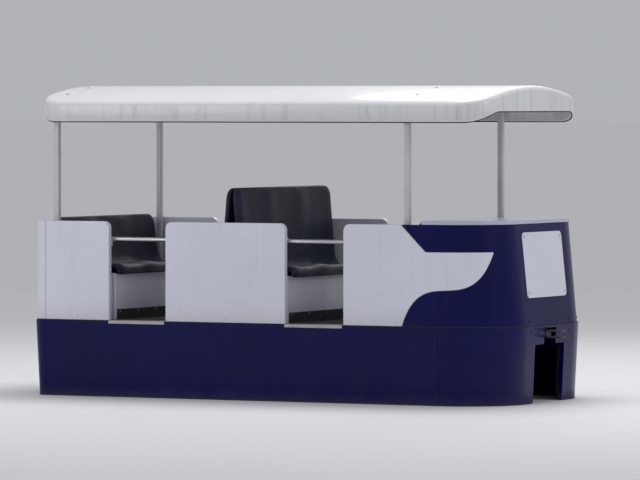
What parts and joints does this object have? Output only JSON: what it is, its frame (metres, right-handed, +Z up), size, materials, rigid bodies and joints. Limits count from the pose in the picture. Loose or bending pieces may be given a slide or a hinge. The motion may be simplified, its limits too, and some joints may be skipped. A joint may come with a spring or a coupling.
{
  "type": "open-sided straddle monorail car",
  "caption": "Open-sided passenger car of a small straddle monorail: blue skirts over the beam, white side panels, bench seats, arched canopy, two swivelling trucks.",
  "frame": {"origin": "on the centre line of the beam's running surface, under the middle of the body", "axes": "+X forward, +Y left, +Z up"},
  "size_m": [3.7, 1.6, 2.09],
  "materials": {
    "white_panel": "satin white moulded panel",
    "blue_panel": "glossy ultramarine moulded panel",
    "deck_panel": "pale grey moulded panel",
    "canopy_shell": "white moulded shell",
    "seat_shell": "dark navy moulded seat",
    "floor_covering": "ribbed dark grey covering",
    "frame_paint": "light grey paint on square tube",
    "bar_steel": "brushed round tube",
    "chassis_paint": "dark grey chassis paint",
    "wheel_steel": "grey painted rims on a bare axle",
    "tyre": "solid black rubber",
    "motor_paint": "blue-grey machine paint"
  },
  "bodies": {
    "car_body": {"underframe": "chassis_paint", "floor": "floor_covering", "skirt_left": "blue_panel", "skirt_right": "blue_panel", "front_apron": "blue_panel", "rear_apron": "blue_panel", "front_wall": "white_panel", "front_panel_left": "white_panel", "front_panel_right": "white_panel", "middle_panel_left": "white_panel", "middle_panel_right": "white_panel", "rear_panel_left": "white_panel", "rear_panel_right": "white_panel", "rear_fairing": "blue_panel", "rear_deck": "deck_panel", "seat_base_front": "white_panel", "seat_base_middle": "white_panel", "seat_base_rear": "white_panel", "bench_front": "seat_shell", "bench_middle_front": "seat_shell", "bench_middle_rear": "seat_shell", "bench_rear": "seat_shell", "canopy": "canopy_shell", "roof_frame_front": "frame_paint", "roof_frame_rear": "frame_paint", "bolster_front": "chassis_paint", "bolster_rear": "chassis_paint"},
    "drawbar": {"front_drawbar": "chassis_paint"},
    "truck_front": {"truck_frame_front": "chassis_paint"},
    "load_wheels_front": {"load_axle_front": "wheel_steel", "load_tyre_front_left": "tyre", "load_tyre_front_right": "tyre"},
    "guide_wheel_front_left_lead": {"guide_wheel_front_left_lead": "tyre"},
    "guide_wheel_front_left_trail": {"guide_wheel_front_left_trail": "tyre"},
    "guide_wheel_front_right_lead": {"guide_wheel_front_right_lead": "tyre"},
    "guide_wheel_front_right_trail": {"guide_wheel_front_right_trail": "tyre"},
    "truck_rear": {"truck_frame_rear": "chassis_paint", "drive_unit": "motor_paint", "current_collector": "chassis_paint"},
    "load_wheels_rear": {"load_axle_rear": "wheel_steel", "load_tyre_rear_left": "tyre", "load_tyre_rear_right": "tyre"},
    "guide_wheel_rear_left_lead": {"guide_wheel_rear_left_lead": "tyre"},
    "guide_wheel_rear_left_trail": {"guide_wheel_rear_left_trail": "tyre"},
    "guide_wheel_rear_right_lead": {"guide_wheel_rear_right_lead": "tyre"},
    "guide_wheel_rear_right_trail": {"guide_wheel_rear_right_trail": "tyre"},
    "safety_bar_front_left": {"safety_bar_front_left": "bar_steel"},
    "safety_bar_front_right": {"safety_bar_front_right": "bar_steel"},
    "safety_bar_rear_left": {"safety_bar_rear_left": "bar_steel"},
    "safety_bar_rear_right": {"safety_bar_rear_right": "bar_steel"}
  },
  "joints": [
    {"name": "truck_front_swivel", "type": "hinge", "parent": "car_body", "child": "truck_front", "pos_m": [1.35, 0, 0.41], "axis": [0, 0, 1], "range_deg": [-8, 8]},
    {"name": "load_wheels_front_spin", "type": "hinge", "parent": "truck_front", "child": "load_wheels_front", "pos_m": [1.35, 0, 0.15], "axis": [0, 1, 0], "continuous": true},
    {"name": "guide_wheel_front_left_lead_spin", "type": "hinge", "parent": "truck_front", "child": "guide_wheel_front_left_lead", "pos_m": [1.555, 0.25, -0.18], "axis": [0, 0, 1], "continuous": true},
    {"name": "guide_wheel_front_left_trail_spin", "type": "hinge", "parent": "truck_front", "child": "guide_wheel_front_left_trail", "pos_m": [1.145, 0.25, -0.18], "axis": [0, 0, 1], "continuous": true},
    {"name": "guide_wheel_front_right_lead_spin", "type": "hinge", "parent": "truck_front", "child": "guide_wheel_front_right_lead", "pos_m": [1.555, -0.25, -0.18], "axis": [0, 0, 1], "continuous": true},
    {"name": "guide_wheel_front_right_trail_spin", "type": "hinge", "parent": "truck_front", "child": "guide_wheel_front_right_trail", "pos_m": [1.145, -0.25, -0.18], "axis": [0, 0, 1], "continuous": true},
    {"name": "truck_rear_swivel", "type": "hinge", "parent": "car_body", "child": "truck_rear", "pos_m": [-1.2, 0, 0.41], "axis": [0, 0, 1], "range_deg": [-8, 8]},
    {"name": "load_wheels_rear_spin", "type": "hinge", "parent": "truck_rear", "child": "load_wheels_rear", "pos_m": [-1.2, 0, 0.15], "axis": [0, 1, 0], "continuous": true},
    {"name": "guide_wheel_rear_left_lead_spin", "type": "hinge", "parent": "truck_rear", "child": "guide_wheel_rear_left_lead", "pos_m": [-0.995, 0.25, -0.18], "axis": [0, 0, 1], "continuous": true},
    {"name": "guide_wheel_rear_left_trail_spin", "type": "hinge", "parent": "truck_rear", "child": "guide_wheel_rear_left_trail", "pos_m": [-1.405, 0.25, -0.18], "axis": [0, 0, 1], "continuous": true},
    {"name": "guide_wheel_rear_right_lead_spin", "type": "hinge", "parent": "truck_rear", "child": "guide_wheel_rear_right_lead", "pos_m": [-0.995, -0.25, -0.18], "axis": [0, 0, 1], "continuous": true},
    {"name": "guide_wheel_rear_right_trail_spin", "type": "hinge", "parent": "truck_rear", "child": "guide_wheel_rear_right_trail", "pos_m": [-1.405, -0.25, -0.18], "axis": [0, 0, 1], "continuous": true},
    {"name": "safety_bar_front_left_lift", "type": "hinge", "parent": "car_body", "child": "safety_bar_front_left", "pos_m": [0.69, 0.73, 0.7], "axis": [0, -1, 0], "range_deg": [0, 95]},
    {"name": "safety_bar_front_right_lift", "type": "hinge", "parent": "car_body", "child": "safety_bar_front_right", "pos_m": [0.69, -0.73, 0.7], "axis": [0, -1, 0], "range_deg": [0, 95]},
    {"name": "safety_bar_rear_left_lift", "type": "hinge", "parent": "car_body", "child": "safety_bar_rear_left", "pos_m": [-0.15, 0.73, 0.7], "axis": [0, 1, 0], "range_deg": [0, 95]},
    {"name": "safety_bar_rear_right_lift", "type": "hinge", "parent": "car_body", "child": "safety_bar_rear_right", "pos_m": [-0.15, -0.73, 0.7], "axis": [0, 1, 0], "range_deg": [0, 95]},
    {"name": "drawbar_swing", "type": "hinge", "parent": "car_body", "child": "drawbar", "pos_m": [1.722, 0, 0.09], "axis": [0, 0, 1], "range_deg": [-25, 25]}
  ]
}
